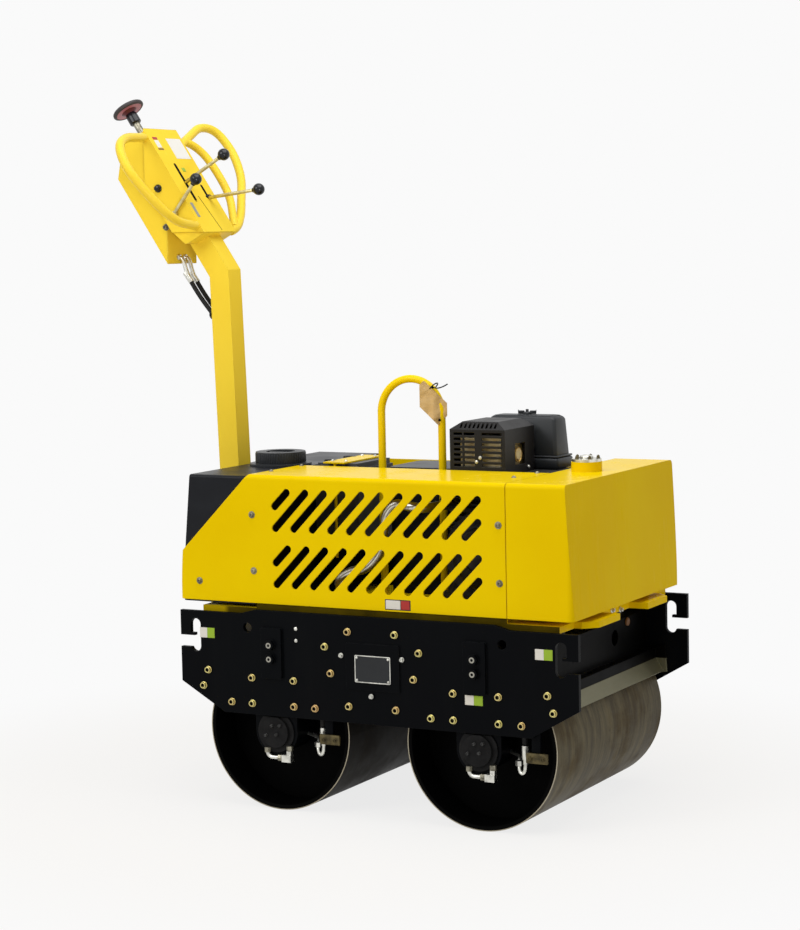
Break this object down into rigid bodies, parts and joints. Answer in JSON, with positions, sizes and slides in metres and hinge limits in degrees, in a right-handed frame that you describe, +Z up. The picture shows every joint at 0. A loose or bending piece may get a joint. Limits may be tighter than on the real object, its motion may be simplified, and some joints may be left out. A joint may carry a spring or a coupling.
{
  "type": "walk-behind double-drum vibratory roller",
  "caption": "Walk-behind road roller with two smooth steel drums between side plates, a slotted hood over the engine and tanks, and a folding steering column with hand loops.",
  "frame": {"origin": "on the ground under the middle of the overall box, handle folded upright", "axes": "+X forward, +Y to the machine's left, +Z up"},
  "size_m": [1.5108, 0.74, 1.8221],
  "materials": {
    "yellow_paint": "gloss",
    "black_paint": "gloss",
    "motor_casting": "satin",
    "plated_steel": "zinc plated",
    "rubber": "matt",
    "black_plastic": "satin",
    "engine_alloy": "satin",
    "guard_paint": "satin",
    "exhaust_steel": "heat tinted",
    "drum_steel": "raw rolled steel",
    "red_plastic": "gloss"
  },
  "bodies": {
    "chassis": {"side_plate_right": "black_paint", "side_plate_left": "black_paint", "centre_beam": "black_paint", "front_crossmember": "black_paint", "rear_crossmember": "black_paint", "carrier_front_right": "black_paint", "carrier_front_left": "black_paint", "carrier_rear_right": "black_paint", "carrier_rear_left": "black_paint", "drive_motor_front": "motor_casting", "drive_motor_rear": "motor_casting", "motor_pipes_front": "plated_steel", "motor_pipes_rear": "plated_steel", "rubber_buffers": "rubber", "upper_frame": "yellow_paint", "hood_panel_right": "yellow_paint", "hood_panel_left": "yellow_paint", "hydraulic_tank": "yellow_paint", "filler_cap": "plated_steel", "water_tank": "black_plastic", "water_cap": "black_plastic", "battery_tray": "black_paint", "battery": "black_plastic", "battery_strap": "yellow_paint", "engine_block": "engine_alloy", "fuel_tank": "black_plastic", "muffler_guard": "guard_paint", "muffler": "exhaust_steel", "air_cleaner": "black_plastic", "lifting_hoop": "yellow_paint", "handle_bracket": "yellow_paint", "pivot_pin": "plated_steel"},
    "front_drum": {"front_drum": "drum_steel"},
    "rear_drum": {"rear_drum": "drum_steel"},
    "handle": {"steering_column": "yellow_paint", "console_housing": "yellow_paint", "console_cover": "yellow_paint", "hand_loop_right": "yellow_paint", "hand_loop_left": "yellow_paint", "travel_lever": "plated_steel", "vibration_lever": "plated_steel", "throttle_lever": "plated_steel", "stop_button": "red_plastic", "control_hoses": "rubber"}
  },
  "joints": [
    {"name": "front_drum_spin", "type": "hinge", "parent": "chassis", "child": "front_drum", "pos_m": [0.4834, 0, 0.203], "axis": [0, 1, 0], "continuous": true},
    {"name": "rear_drum_spin", "type": "hinge", "parent": "chassis", "child": "rear_drum", "pos_m": [-0.0866, 0, 0.203], "axis": [0, 1, 0], "continuous": true},
    {"name": "handle_fold", "type": "hinge", "parent": "chassis", "child": "handle", "pos_m": [-0.3966, 0, 0.575], "axis": [0, -1, 0], "range_deg": [0, 60]}
  ]
}
